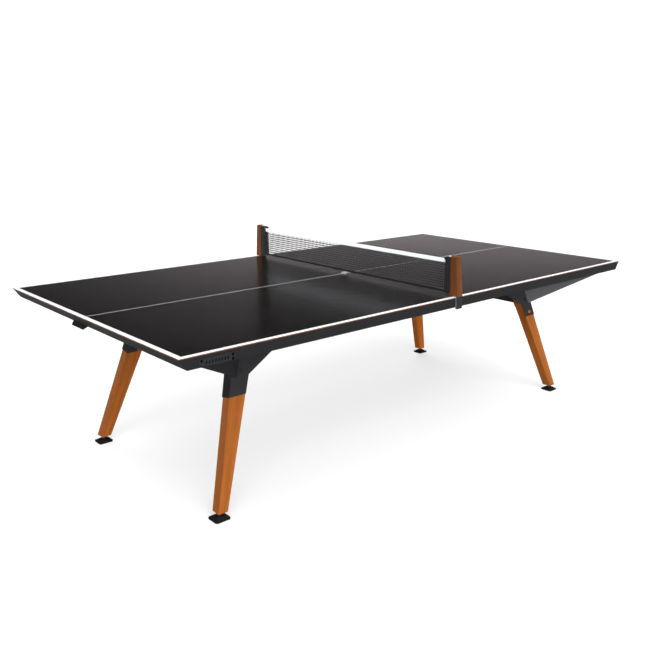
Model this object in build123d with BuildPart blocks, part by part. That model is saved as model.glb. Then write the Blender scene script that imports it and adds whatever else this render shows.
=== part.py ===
"""Ping pong table with splayed wooden legs, folded steel under-frame and a lift-off net.

Frame: millimetres, +X along the length, +Y across, +Z up.
The origin is on the floor under the middle of the table.
The near side is -Y and the left end is -X.
"""
import os
from math import atan, cos, hypot, sin

from build123d import *

# ---------------------------------------------------------------- driving dimensions
TABLE_LENGTH = 2740.0
TABLE_WIDTH = 1525.0
TABLE_HEIGHT = 760.0
PANEL_THICKNESS = 5.0
HALF_GAP = 0.5                 # from the middle plane to each half

RAIL_OVERHANG = 1.5            # the rails stand this far inside the panel's edge
RAIL_BOTTOM = 714.0
RAIL_SHEET = 2.5
RAIL_TOP_FLANGE = 30.0
RAIL_BOTTOM_FLANGE = 18.0
END_UNDERCUT = 27.5            # how far the end rail leans in from top to bottom
SIDE_FLANGE_START = 30.0
SIDE_FLANGE_END = 1320.0
CENTRE_FLANGE = 25.0
STRINGER_Y = 332.0
STRINGER_WIDTH = 25.0
STRINGER_WALL = 2.0
STRINGER_END_GAP = 3.0

LEG_BOTTOM = 30.0
LEG_TOP = 688.0
LEG_EDGE = 1.5
BRACKET_TOP = 700.0
BRACKET_BOTTOM = 458.0
BRACKET_STEP = 529.0           # height of the bracket's knee, where the wing starts
LEG_SPLAY = 83.0 / 428.0       # sideways lean of the leg's plane, per unit of height
LEG_PLANE_Y = 465.0            # the bracket's outer face at BRACKET_BOTTOM
LEG_THICKNESS = 48.0
LEG_INNER_X = (1085.0, 928.5)  # inner edge at LEG_BOTTOM and at BRACKET_BOTTOM
LEG_OUTER_X = (1127.0, 1003.5)
BRACKET_SHEET = 3.0
BACK_BAND_TOP = 515.0          # the back plate narrows to a band below this height
BACK_BAND_WIDTH = 50.0
TOP_FLANGE_WIDTH = 28.0
TOP_FLANGE_SETBACK = (12.0, 4.0)       # from the web's end and from the fold line
FOLD_X = (961.3, 889.0)        # fold line of the wing at BRACKET_STEP and at the panel
WEB_END_X = 497.0
WING_TIP_X = 1294.0
WING_TIP_Y = 731.0
WING_END_Y = 740.0
WING_TOP = 752.0
BEAM_X = (905.0, 945.0)
BEAM_Z = (529.0, 629.0)

FOOT_X = 1109.0
FOOT_Y = 520.0
PAD_SIZE = 66.0
PAD_CORNER = 9.0
PAD_STEP = 3.0                 # the tapered back starts this far inside the rim
PAD_RIM_TOP = 7.0
PAD_BACK_SIZE = 34.0
PAD_BACK_CORNER = 7.0
PAD_BACK_TOP = 16.0
HUB_RADIUS = 12.0
HUB_TOP = 20.0
STUD_RADIUS = 5.0
STUD_BOTTOM = 8.0
STUD_TOP = 52.0
STUD_LEAD_IN = 1.0
SPANNER_HEX_RADIUS = 9.8
SPANNER_HEX_HEIGHT = 6.0
INSERT_RADIUS = 8.0
INSERT_TOP = 54.0
RUNNING_GAP = 0.15

POST_TOP = 938.0
POST_BOTTOM = 762.0
POST_HALF_WIDTH = (18.5, 15.5)         # at the bottom and at the top
POST_INNER_Y = 726.0
POST_OUTER_Y = (769.0, 757.5)          # at the bottom and at the top
POST_EDGE = 3.0
CLIP_INNER_Y = 692.0
CLIP_BOTTOM = 769.0
CLIP_TOP = 934.0
CLIP_HALF_WIDTH = (15.5, 13.5)
CLIP_CORNER = (6.0, 10.0)              # slanted corner at the top of the inner face
CLIP_SLOT_HALF_WIDTH = 1.8
CLIP_SLOT_DEPTH = 12.0
HOOK_HALF_WIDTH = 4.0
HOOK_LENGTH = 21.0
HOOK_HEIGHT = 3.0
HOOK_ROUND = 1.2
NET_TOP = 922.0
NET_BOTTOM = 769.0
NET_GRIP = 10.0                        # length of net held in each slot
TAPE_HEIGHT = 18.0
TAPE_THICKNESS = 3.0
MESH_THICKNESS = 1.2
HEM_HEIGHT = 10.0
HEM_THICKNESS = 2.4
SHOE_SHEET = 1.5
SHOE_HALF_WIDTH = 14.0
SHOE_SETBACK = 4.0
TONGUE_Y = (763.4, 766.4)
TONGUE_HALF_WIDTH = 10.0
TONGUE_BOTTOM = 718.0
TONGUE_LEAD_IN = 0.8
SOCKET_BOTTOM = 716.0
BRACKET_FACE_Y = 769.0
BRACKET_HALF_WIDTH = 19.0
BRACKET_LOW_Z = 706.0
BRACKET_EDGE = 1.5

SMALL_GAP = 0.3
OVERCUT = 1.0                  # cutting tools reach this far past the face they open
UPRIGHT = (Align.CENTER, Align.CENTER, Align.MIN)
HANGING = (Align.CENTER, Align.CENTER, Align.MAX)
CORNERS = {"nl": (-1, -1), "nr": (1, -1), "fl": (-1, 1), "fr": (1, 1)}
HALVES = {"left": -1, "right": 1}
SIDES = {"near": -1, "far": 1}

# ---------------------------------------------------------------- derived dimensions
HALF_LENGTH = TABLE_LENGTH / 2
HALF_WIDTH = TABLE_WIDTH / 2
PANEL_BOTTOM = TABLE_HEIGHT - PANEL_THICKNESS
RAIL_FACE_Y = HALF_WIDTH - RAIL_OVERHANG
RAIL_INSIDE_Y = RAIL_FACE_Y - RAIL_SHEET
RAIL_HEIGHT = PANEL_BOTTOM - RAIL_BOTTOM
END_TOP_X = HALF_LENGTH - RAIL_OVERHANG
END_BOTTOM_X = END_TOP_X - END_UNDERCUT
LEAN = atan(LEG_SPLAY)

os.makedirs("parts", exist_ok=True)


def save(builder, name):
    """Label a finished piece and write it as parts/NAME.step."""
    builder.part.label = name
    export_step(builder.part, f"parts/{name}.step")


def block(corner_a, corner_b, mode=Mode.ADD):
    """A box between two opposite corners, given in any order."""
    low = [min(a, b) for a, b in zip(corner_a, corner_b)]
    size = [abs(a - b) for a, b in zip(corner_a, corner_b)]
    with Locations(tuple(low)):
        Box(*size, align=(Align.MIN, Align.MIN, Align.MIN), mode=mode)


def on_line(z, pair, z_low=BRACKET_BOTTOM, z_high=LEG_BOTTOM):
    """Distance |x| at height z on the straight edge through pair at z_high and z_low."""
    slope = (pair[0] - pair[1]) / (z_high - z_low)
    return pair[1] + slope * (z - z_low)


def leg_face_y(z):
    """Distance |y| of the bracket's outer face at height z."""
    return LEG_PLANE_Y - LEG_SPLAY * (z - BRACKET_BOTTOM)


def leg_plane(sx, sy, depth=0.0):
    """Leaning plane of one leg: local x is |x|, local y runs up the slope.

    depth is measured square to the plane, from the bracket's outer face towards the table's middle.
    """
    base = Plane(
        origin=(0, sy * leg_face_y(0), 0),
        x_dir=(sx, 0, 0),
        z_dir=(0, -sx * cos(LEAN), -sx * sy * sin(LEAN)),
    )
    return base.offset(sx * sy * depth)


def on_leg(x, z):
    """Sketch coordinates on the leg's plane of a point at |x| and height z."""
    return (x, z / cos(LEAN))


def outer_metal_x(z):
    """Outer edge of the bracket, one sheet outside the wooden leg."""
    return on_line(z, LEG_OUTER_X) + BRACKET_SHEET


def inward(sx, sy, amount):
    """Extrusion amount that goes from the outer face towards the table's middle."""
    return sx * sy * amount


def leg_plate(sx, sy, outline, depth, thickness):
    """Add a flat plate in the leg's leaning plane."""
    with BuildSketch(leg_plane(sx, sy, depth)) as plate:
        with BuildLine():
            Polyline(*[on_leg(x, z) for x, z in outline], close=True)
        make_face()
    extrude(plate.sketch, amount=inward(sx, sy, thickness))


def leg_drill(sx, sy, x, z, radius, depth, length, mode=Mode.SUBTRACT):
    """A round bar square to the leg's plane, cut away or added."""
    with BuildSketch(leg_plane(sx, sy, depth)) as section:
        with Locations(on_leg(x, z)):
            Circle(radius)
    extrude(section.sketch, amount=inward(sx, sy, length), mode=mode)


# ---------------------------------------------------------------- fasteners
BACK_PLATE_DEPTH = BRACKET_SHEET + LEG_THICKNESS
BRACKET_DEPTH = BACK_PLATE_DEPTH + BRACKET_SHEET

LEG_BOLT_X = 935.8
LEG_BOLT_Z = 551.7
LEG_BOLT_RADIUS = 4.0
LEG_BOLT_HOLE = 4.3
LEG_BOLT_TAIL = 9.0
BUTTON_HEAD_RADIUS = 7.0
BUTTON_HEAD_HEIGHT = 3.5
SOCKET_HEX_RADIUS = 2.9
SOCKET_HEX_DEPTH = 2.2
M8_HEX_RADIUS = 7.5
M8_HEAD_HEIGHT = 5.0
M8_NUT_HEIGHT = 6.5
JOINT_BOLT_YS = (-600.0, -200.0, 200.0, 600.0)
JOINT_BOLT_Z = 734.0
JOINT_BOLT_RADIUS = 4.0
JOINT_BOLT_HOLE = 4.5
JOINT_BOLT_TAIL = 10.0

BACK_SCREW_SPOTS = ((966.0, 485.0), (910.0, 662.0))
BACK_SCREW_RADIUS = 2.5
BACK_SCREW_HOLE = 2.6
BACK_SCREW_LENGTH = 25.0
BACK_SCREW_HEAD = 5.0
PANEL_SCREW_XS = (540.0, 640.0, 740.0, 840.0)
PANEL_SCREW_Y = leg_face_y(PANEL_BOTTOM) - 16.0
PANEL_SCREW_RADIUS = 2.5
PANEL_SCREW_GRIP = 3.5
PANEL_SCREW_HEAD = 4.5
SCREW_HEAD_HEIGHT = 2.5
BRACKET_SCREW_X = 15.0
BRACKET_SCREW_Z = 735.0
BRACKET_SCREW_RADIUS = 2.0
BRACKET_SCREW_HOLE_DEPTH = 5.0
BRACKET_SCREW_LENGTH = 4.5     # beyond the rail
BRACKET_SCREW_HEAD = 3.5
BRACKET_SCREW_HEAD_HEIGHT = 3.0
TRIM_SCREW_RADIUS = 2.5
TRIM_HEAD_RADIUS = 4.0
TRIM_HEAD_HEIGHT = 1.2
LIP_HEAD_RADIUS = 4.5
LIP_HEAD_HEIGHT = 2.0

DISC_X = 962.0
DISC_Z = 480.0
DISC_RADIUS = 9.0
DISC_SHEET = 1.5

# ---------------------------------------------------------------- end lips and side plates
LIP_Y = (17.0, 153.0)
LIP_EDGE_Y = (30.0, 140.0)
LIP_SHEET = 2.0
LIP_BEND_X = 1341.0
LIP_EDGE = (1355.0, 701.0)
LIP_FLANGE = 18.0
LIP_SCREW_SPOTS = ((1330.0, 35.0), (1330.0, 135.0))
SIDE_PLATE_SHEET = 1.5
SIDE_PLATE_OUTLINE = (
    (1158.0, 716.0), (1158.0, 741.0), (1297.0, 741.0), (1297.0, 726.0), (1275.5, 716.0)
)
SIDE_PLATE_HOLES = ((1287.0, 736.0), (1166.0, 736.0), (1166.0, 722.0))
SLOT_COUNT = 8
SLOT_START = 1185.0
SLOT_PITCH = 12.0
SLOT_Z = 728.0
SLOT_SIZE = (13.0, 5.0)
SLOT_TURN = 78.0


# ---------------------------------------------------------------- playing top
def playing_top(sx):
    """Half of the laminate top, with blind screw holes underneath."""
    with BuildPart() as half:
        block((sx * HALF_GAP, -HALF_WIDTH, PANEL_BOTTOM), (sx * HALF_LENGTH, HALF_WIDTH, TABLE_HEIGHT))
        for sy in SIDES.values():
            with Locations(*[(sx * x, sy * PANEL_SCREW_Y, PANEL_BOTTOM) for x in PANEL_SCREW_XS]):
                Cylinder(PANEL_SCREW_RADIUS, PANEL_SCREW_GRIP, align=UPRIGHT, mode=Mode.SUBTRACT)
    return half


# ---------------------------------------------------------------- perimeter frame
def bevel_plane(sx):
    """Slanted outer face of the end rail, with its normal pointing out of the table."""
    length = hypot(END_UNDERCUT, RAIL_HEIGHT)
    normal = (sx * RAIL_HEIGHT / length, 0, -END_UNDERCUT / length)
    return Plane(origin=(sx * END_TOP_X, 0, PANEL_BOTTOM), z_dir=normal)


def side_rail(sx, sy):
    """Folded channel under one long edge, its end cut to the slant of the end rail."""
    with BuildPart() as rail:
        block(
            (sx * HALF_GAP, sy * RAIL_INSIDE_Y, RAIL_BOTTOM),
            (sx * HALF_LENGTH, sy * RAIL_FACE_Y, PANEL_BOTTOM),
        )
        split(bisect_by=bevel_plane(sx), keep=Keep.BOTTOM)
        block(
            (sx * SIDE_FLANGE_START, sy * RAIL_FACE_Y, PANEL_BOTTOM - RAIL_SHEET),
            (sx * SIDE_FLANGE_END, sy * (RAIL_FACE_Y - RAIL_TOP_FLANGE), PANEL_BOTTOM),
        )
        block(
            (sx * SIDE_FLANGE_START, sy * RAIL_FACE_Y, RAIL_BOTTOM),
            (sx * SIDE_FLANGE_END, sy * (RAIL_FACE_Y - RAIL_BOTTOM_FLANGE), RAIL_BOTTOM + RAIL_SHEET),
        )
        screw_spot = (sx * BRACKET_SCREW_X, sy * RAIL_INSIDE_Y, BRACKET_SCREW_Z)
        with Locations(Location(screw_spot, (90, 0, 0))):
            Cylinder(BRACKET_SCREW_RADIUS, 4 * RAIL_SHEET, mode=Mode.SUBTRACT)
        if sx * sy > 0:
            spots = [(sx * x, sy * RAIL_FACE_Y, z) for x, z in SIDE_PLATE_HOLES]
            with Locations(*[Location(spot, (90, 0, 0)) for spot in spots]):
                Cylinder(TRIM_SCREW_RADIUS, 4 * RAIL_SHEET, mode=Mode.SUBTRACT)
    return rail


def end_rail(sx):
    """Undercut channel across one end, between the two side rails."""
    run = RAIL_SHEET / cos(atan(END_UNDERCUT / RAIL_HEIGHT))
    slope = END_UNDERCUT / RAIL_HEIGHT
    outline = [
        (END_TOP_X - RAIL_TOP_FLANGE, PANEL_BOTTOM),
        (END_TOP_X, PANEL_BOTTOM),
        (END_BOTTOM_X, RAIL_BOTTOM),
        (END_BOTTOM_X - RAIL_BOTTOM_FLANGE, RAIL_BOTTOM),
        (END_BOTTOM_X - RAIL_BOTTOM_FLANGE, RAIL_BOTTOM + RAIL_SHEET),
        (END_BOTTOM_X + slope * RAIL_SHEET - run, RAIL_BOTTOM + RAIL_SHEET),
        (END_TOP_X - slope * RAIL_SHEET - run, PANEL_BOTTOM - RAIL_SHEET),
        (END_TOP_X - RAIL_TOP_FLANGE, PANEL_BOTTOM - RAIL_SHEET),
    ]
    with BuildPart() as rail:
        with BuildSketch(Plane.XZ):
            with BuildLine():
                Polyline(*[(sx * x, z) for x, z in outline], close=True)
            make_face()
        extrude(amount=RAIL_INSIDE_Y, both=True)
        with Locations(*[(sx * x, -sx * y, RAIL_BOTTOM) for x, y in LIP_SCREW_SPOTS]):
            Cylinder(TRIM_SCREW_RADIUS, 4 * RAIL_SHEET, mode=Mode.SUBTRACT)
    return rail


def centre_rail(sx):
    """Channel across the middle that bolts to its twin on the other half."""
    with BuildPart() as rail:
        web_x = sx * (HALF_GAP + RAIL_SHEET)
        flange_x = sx * (HALF_GAP + CENTRE_FLANGE)
        block((sx * HALF_GAP, -RAIL_INSIDE_Y, RAIL_BOTTOM), (web_x, RAIL_INSIDE_Y, PANEL_BOTTOM))
        for low in (RAIL_BOTTOM, PANEL_BOTTOM - RAIL_SHEET):
            block((web_x, -RAIL_INSIDE_Y, low), (flange_x, RAIL_INSIDE_Y, low + RAIL_SHEET))
        with Locations(*[Location((sx * HALF_GAP, y, JOINT_BOLT_Z), (0, 90, 0)) for y in JOINT_BOLT_YS]):
            Cylinder(JOINT_BOLT_HOLE, 4 * RAIL_SHEET, mode=Mode.SUBTRACT)
    return rail


def stringer(sx, sy):
    """Box tube along one half that stiffens the panel between the centre and end rails."""
    low_z = RAIL_BOTTOM + RAIL_SHEET
    high_z = PANEL_BOTTOM - RAIL_SHEET
    start = HALF_GAP + RAIL_SHEET
    stop = END_BOTTOM_X - STRINGER_END_GAP
    half = STRINGER_WIDTH / 2
    wall = STRINGER_WALL
    with BuildPart() as tube:
        block((sx * start, sy * STRINGER_Y - half, low_z), (sx * stop, sy * STRINGER_Y + half, high_z))
        block(
            (sx * start, sy * STRINGER_Y - half + wall, low_z + wall),
            (sx * stop, sy * STRINGER_Y + half - wall, high_z - wall),
            mode=Mode.SUBTRACT,
        )
    return tube


def joint_bolts():
    """Bolts and nuts that clamp the two centre rails together."""
    head_x = HALF_GAP + RAIL_SHEET
    with BuildPart() as bolts:
        for y in JOINT_BOLT_YS:
            with BuildSketch(Plane.YZ.offset(-head_x - M8_HEAD_HEIGHT)):
                with Locations((y, JOINT_BOLT_Z)):
                    RegularPolygon(M8_HEX_RADIUS, 6)
            extrude(amount=M8_HEAD_HEIGHT)
            with BuildSketch(Plane.YZ.offset(-head_x)):
                with Locations((y, JOINT_BOLT_Z)):
                    Circle(JOINT_BOLT_RADIUS)
            extrude(amount=2 * head_x + JOINT_BOLT_TAIL)
            with BuildSketch(Plane.YZ.offset(head_x)):
                with Locations((y, JOINT_BOLT_Z)):
                    RegularPolygon(M8_HEX_RADIUS, 6)
            extrude(amount=M8_NUT_HEIGHT)
    return bolts


# ---------------------------------------------------------------- legs and brackets
def leg_bracket(sx, sy):
    """Folded bracket: front plate with the long web, side flange, back plate and top flange."""
    front = [
        (outer_metal_x(BRACKET_BOTTOM), BRACKET_BOTTOM),
        (outer_metal_x(BRACKET_TOP), BRACKET_TOP),
        (on_line(BRACKET_TOP, FOLD_X, PANEL_BOTTOM, BRACKET_STEP), BRACKET_TOP),
        (FOLD_X[1], PANEL_BOTTOM),
        (WEB_END_X, PANEL_BOTTOM),
        (on_line(BRACKET_STEP, LEG_INNER_X), BRACKET_STEP),
        (LEG_INNER_X[1], BRACKET_BOTTOM),
    ]
    flange = [
        (outer_metal_x(BRACKET_BOTTOM), BRACKET_BOTTOM),
        (outer_metal_x(BRACKET_TOP), BRACKET_TOP),
        (outer_metal_x(BRACKET_TOP) - BRACKET_SHEET, BRACKET_TOP),
        (outer_metal_x(BRACKET_BOTTOM) - BRACKET_SHEET, BRACKET_BOTTOM),
    ]
    back = [
        (outer_metal_x(BRACKET_BOTTOM), BRACKET_BOTTOM),
        (outer_metal_x(BRACKET_TOP), BRACKET_TOP),
        (on_line(BRACKET_TOP, LEG_INNER_X), BRACKET_TOP),
        (on_line(BACK_BAND_TOP, LEG_INNER_X), BACK_BAND_TOP),
        (outer_metal_x(BACK_BAND_TOP) - BACK_BAND_WIDTH, BACK_BAND_TOP),
        (outer_metal_x(BRACKET_BOTTOM) - BACK_BAND_WIDTH, BRACKET_BOTTOM),
    ]
    with BuildPart() as bracket:
        leg_plate(sx, sy, front, 0.0, BRACKET_SHEET)
        leg_plate(sx, sy, flange, 0.0, BRACKET_DEPTH)
        leg_plate(sx, sy, back, BACK_PLATE_DEPTH, BRACKET_SHEET)
        flange_y = leg_face_y(PANEL_BOTTOM) - SMALL_GAP
        inset_start, inset_stop = TOP_FLANGE_SETBACK
        block(
            (sx * (WEB_END_X + inset_start), sy * flange_y, PANEL_BOTTOM - BRACKET_SHEET),
            (sx * (FOLD_X[1] - inset_stop), sy * (flange_y - TOP_FLANGE_WIDTH), PANEL_BOTTOM),
        )
        split(bisect_by=Plane.XY.offset(PANEL_BOTTOM), keep=Keep.BOTTOM)
        leg_drill(sx, sy, LEG_BOLT_X, LEG_BOLT_Z, LEG_BOLT_HOLE, -OVERCUT, BRACKET_DEPTH + 2 * OVERCUT)
        for x, z in BACK_SCREW_SPOTS:
            start = BACK_PLATE_DEPTH - OVERCUT
            leg_drill(sx, sy, x, z, BACK_SCREW_HOLE, start, BRACKET_SHEET + 2 * OVERCUT)
        with Locations(*[(sx * x, sy * PANEL_SCREW_Y, PANEL_BOTTOM) for x in PANEL_SCREW_XS]):
            Cylinder(PANEL_SCREW_RADIUS, 4 * BRACKET_SHEET, mode=Mode.SUBTRACT)
    return bracket


def wing_plate(sx, sy):
    """Triangular sheet that fans out from the bracket's fold line to the table's corner."""
    fold_low = Vector(sx * FOLD_X[0], sy * leg_face_y(BRACKET_STEP), BRACKET_STEP)
    fold_high = Vector(sx * FOLD_X[1], sy * leg_face_y(PANEL_BOTTOM), PANEL_BOTTOM)
    tip = Vector(sx * WING_TIP_X, sy * WING_TIP_Y, RAIL_BOTTOM)
    along = (tip - fold_low).normalized()
    normal = along.cross(fold_high - fold_low).normalized()
    plane = Plane(origin=fold_low, x_dir=along, z_dir=normal)

    def out_to_rail(start, direction):
        """Point from start along direction, stopped just inside the side rail."""
        return start + direction * ((sy * WING_END_Y - start.Y) / direction.Y)

    low_end = out_to_rail(fold_low, along)
    rise = (WING_TOP - BRACKET_STEP) / (PANEL_BOTTOM - BRACKET_STEP)
    high_start = fold_low + (fold_high - fold_low) * rise
    high_end = out_to_rail(high_start, normal.cross(Vector(0, 0, 1)))
    corners = [plane.to_local_coords(p) for p in (fold_low, low_end, high_end, high_start)]
    with BuildPart() as wing:
        with BuildSketch(plane):
            with BuildLine():
                Polyline(*[(p.X, p.Y) for p in corners], close=True)
            make_face()
        away_from_middle = 1 if normal.Y * sy > 0 else -1
        extrude(amount=away_from_middle * RAIL_SHEET)
    return wing


def wooden_leg(sx, sy):
    """Tapered hardwood leg, cut level at the top and the bottom and drilled for its fixings."""
    low = LEG_BOTTOM - LEG_THICKNESS
    high = LEG_TOP + LEG_THICKNESS
    outline = [
        (on_line(low, LEG_INNER_X), low),
        (on_line(low, LEG_OUTER_X), low),
        (on_line(high, LEG_OUTER_X), high),
        (on_line(high, LEG_INNER_X), high),
    ]
    with BuildPart() as leg:
        leg_plate(sx, sy, outline, BRACKET_SHEET, LEG_THICKNESS)
        split(bisect_by=Plane.XY.offset(LEG_BOTTOM), keep=Keep.TOP)
        split(bisect_by=Plane.XY.offset(LEG_TOP), keep=Keep.BOTTOM)
        bottom = leg.faces().sort_by(Axis.Z)[0]
        chamfer(bottom.edges(), LEG_EDGE)
        with Locations((sx * FOOT_X, sy * FOOT_Y, LEG_BOTTOM)):
            Cylinder(INSERT_RADIUS, INSERT_TOP - LEG_BOTTOM, align=UPRIGHT, mode=Mode.SUBTRACT)
        leg_drill(sx, sy, LEG_BOLT_X, LEG_BOLT_Z, LEG_BOLT_HOLE, 0.0, BRACKET_DEPTH)
        for x, z in BACK_SCREW_SPOTS:
            start = BACK_PLATE_DEPTH + OVERCUT
            leg_drill(sx, sy, x, z, BACK_SCREW_HOLE, start, -BACK_SCREW_LENGTH - OVERCUT)
    return leg


def cross_beam(sx):
    """Folded channel between the near and far leg brackets of one end."""
    (x_in, x_out), (z_low, z_high) = BEAM_X, BEAM_Z
    with BuildPart() as beam:
        block((sx * x_in, -LEG_PLANE_Y, z_low), (sx * (x_in + RAIL_SHEET), LEG_PLANE_Y, z_high))
        for low in (z_low, z_high - RAIL_SHEET):
            block((sx * x_in, -LEG_PLANE_Y, low), (sx * x_out, LEG_PLANE_Y, low + RAIL_SHEET))
        for sy in SIDES.values():
            stop = leg_plane(sx, sy, BRACKET_DEPTH)
            face = Plane(origin=stop.origin, z_dir=stop.z_dir * (sx * sy))
            split(bisect_by=face, keep=Keep.TOP)
    return beam


def leg_bolts():
    """Button-head bolts through the legs, with their nuts behind the back plates."""
    head = BUTTON_HEAD_HEIGHT
    with BuildPart() as bolts:
        for sx, sy in CORNERS.values():
            spot = (sx, sy, LEG_BOLT_X, LEG_BOLT_Z)
            leg_drill(*spot, BUTTON_HEAD_RADIUS, -head, head, mode=Mode.ADD)
            leg_drill(*spot, LEG_BOLT_RADIUS, 0.0, BRACKET_DEPTH + LEG_BOLT_TAIL, mode=Mode.ADD)
            with BuildSketch(leg_plane(sx, sy, BRACKET_DEPTH)):
                with Locations(on_leg(LEG_BOLT_X, LEG_BOLT_Z)):
                    RegularPolygon(M8_HEX_RADIUS, 6)
            extrude(amount=inward(sx, sy, M8_NUT_HEIGHT))
            with BuildSketch(leg_plane(sx, sy, -head)):
                with Locations(on_leg(LEG_BOLT_X, LEG_BOLT_Z)):
                    RegularPolygon(SOCKET_HEX_RADIUS, 6)
            extrude(amount=inward(sx, sy, SOCKET_HEX_DEPTH), mode=Mode.SUBTRACT)
    return bolts


def back_screws():
    """Wood screws that hold each back plate to its leg."""
    with BuildPart() as screws:
        for sx, sy in CORNERS.values():
            for x, z in BACK_SCREW_SPOTS:
                spot = (sx, sy, x, z)
                leg_drill(*spot, BACK_SCREW_HEAD, BRACKET_DEPTH, SCREW_HEAD_HEIGHT, mode=Mode.ADD)
                leg_drill(*spot, BACK_SCREW_RADIUS, BRACKET_DEPTH, -BACK_SCREW_LENGTH, mode=Mode.ADD)
    return screws


def panel_screws():
    """Pan-head screws from the brackets' top flanges up into the panel."""
    head_z = PANEL_BOTTOM - BRACKET_SHEET - SCREW_HEAD_HEIGHT
    length = PANEL_BOTTOM + PANEL_SCREW_GRIP - head_z
    with BuildPart() as screws:
        for sx, sy in CORNERS.values():
            with Locations(*[(sx * x, sy * PANEL_SCREW_Y, head_z) for x in PANEL_SCREW_XS]):
                Cylinder(PANEL_SCREW_HEAD, SCREW_HEAD_HEIGHT, align=UPRIGHT)
                Cylinder(PANEL_SCREW_RADIUS, length, align=UPRIGHT)
    return screws


def bracket_discs():
    """Thin round trim discs bonded to two of the bracket plates."""
    with BuildPart() as discs:
        for sx, sy in CORNERS.values():
            if sx * sy < 0:
                leg_drill(sx, sy, DISC_X, DISC_Z, DISC_RADIUS, -DISC_SHEET, DISC_SHEET, mode=Mode.ADD)
    return discs


# ---------------------------------------------------------------- levelling feet
def foot_inserts():
    """Threaded sleeves pressed into the bottoms of the legs."""
    length = INSERT_TOP - LEG_BOTTOM
    with BuildPart() as inserts:
        with Locations(*[(sx * FOOT_X, sy * FOOT_Y, LEG_BOTTOM) for sx, sy in CORNERS.values()]):
            Cylinder(INSERT_RADIUS, length, align=UPRIGHT)
            Cylinder(STUD_RADIUS + RUNNING_GAP, length, align=UPRIGHT, mode=Mode.SUBTRACT)
    return inserts


def foot_stud(sx, sy):
    """Steel stud with spanner flats, moulded into the pad and screwed into the leg."""
    with BuildPart() as stud:
        with BuildSketch(Plane.XY.offset(STUD_BOTTOM)):
            with Locations((sx * FOOT_X, sy * FOOT_Y)):
                Circle(STUD_RADIUS)
        extrude(amount=STUD_TOP - STUD_BOTTOM)
        with BuildSketch(Plane.XY.offset(HUB_TOP)):
            with Locations((sx * FOOT_X, sy * FOOT_Y)):
                RegularPolygon(SPANNER_HEX_RADIUS, 6)
        extrude(amount=SPANNER_HEX_HEIGHT)
        chamfer(stud.faces().sort_by(Axis.Z)[-1].edges(), STUD_LEAD_IN)
    return stud


def foot_pad(sx, sy):
    """Square moulded pad with a tapered back and a round hub."""
    centre = (sx * FOOT_X, sy * FOOT_Y)
    shoulder = PAD_SIZE - 2 * PAD_STEP
    with BuildPart() as pad:
        with BuildSketch(Plane.XY):
            with Locations(centre):
                RectangleRounded(PAD_SIZE, PAD_SIZE, PAD_CORNER)
        extrude(amount=PAD_RIM_TOP)
        with BuildSketch(Plane.XY.offset(PAD_RIM_TOP)):
            with Locations(centre):
                RectangleRounded(shoulder, shoulder, PAD_BACK_CORNER)
        with BuildSketch(Plane.XY.offset(PAD_BACK_TOP)):
            with Locations(centre):
                RectangleRounded(PAD_BACK_SIZE, PAD_BACK_SIZE, PAD_BACK_CORNER)
        loft()
        with BuildSketch(Plane.XY.offset(PAD_BACK_TOP)):
            with Locations(centre):
                Circle(HUB_RADIUS)
        extrude(amount=HUB_TOP - PAD_BACK_TOP)
        with BuildSketch(Plane.XY.offset(STUD_BOTTOM)):
            with Locations(centre):
                Circle(STUD_RADIUS)
        extrude(amount=HUB_TOP - STUD_BOTTOM, mode=Mode.SUBTRACT)
    return pad


# ---------------------------------------------------------------- net
def net_bracket(sy):
    """Socket on the side rail that takes the flat tongue of one net post."""
    top = POST_BOTTOM - SHOE_SHEET - SMALL_GAP
    tongue_in, tongue_out = TONGUE_Y
    slot_half = TONGUE_HALF_WIDTH + SMALL_GAP
    with BuildPart() as bracket:
        block(
            (-BRACKET_HALF_WIDTH, sy * RAIL_FACE_Y, BRACKET_LOW_Z),
            (BRACKET_HALF_WIDTH, sy * BRACKET_FACE_Y, top),
        )
        outer_edges = bracket.edges().filter_by(Axis.Z).group_by(Axis.Y)[0 if sy < 0 else -1]
        chamfer(outer_edges, BRACKET_EDGE)
        block(
            (-BRACKET_HALF_WIDTH, sy * RAIL_FACE_Y, PANEL_BOTTOM - SMALL_GAP),
            (BRACKET_HALF_WIDTH, sy * (HALF_WIDTH + SMALL_GAP), top),
            mode=Mode.SUBTRACT,
        )
        block(
            (-slot_half, sy * (tongue_in - SMALL_GAP), SOCKET_BOTTOM),
            (slot_half, sy * (tongue_out + SMALL_GAP), top),
            mode=Mode.SUBTRACT,
        )
        spots = [(x, sy * RAIL_FACE_Y, BRACKET_SCREW_Z) for x in (-BRACKET_SCREW_X, BRACKET_SCREW_X)]
        with Locations(*[Location(spot, (90, 0, 0)) for spot in spots]):
            Cylinder(BRACKET_SCREW_RADIUS, 2 * BRACKET_SCREW_HOLE_DEPTH, mode=Mode.SUBTRACT)
    return bracket


def bracket_screws():
    """Screws from inside the side rails into the net brackets."""
    with BuildPart() as screws:
        for sy in SIDES.values():
            for x in (-BRACKET_SCREW_X, BRACKET_SCREW_X):
                inside = Plane(origin=(x, sy * RAIL_INSIDE_Y, BRACKET_SCREW_Z), z_dir=(0, sy, 0))
                with BuildSketch(inside.offset(-BRACKET_SCREW_HEAD_HEIGHT)):
                    Circle(BRACKET_SCREW_HEAD)
                extrude(amount=BRACKET_SCREW_HEAD_HEIGHT)
                with BuildSketch(inside):
                    Circle(BRACKET_SCREW_RADIUS)
                extrude(amount=RAIL_SHEET + BRACKET_SCREW_LENGTH)
    return screws


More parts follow.
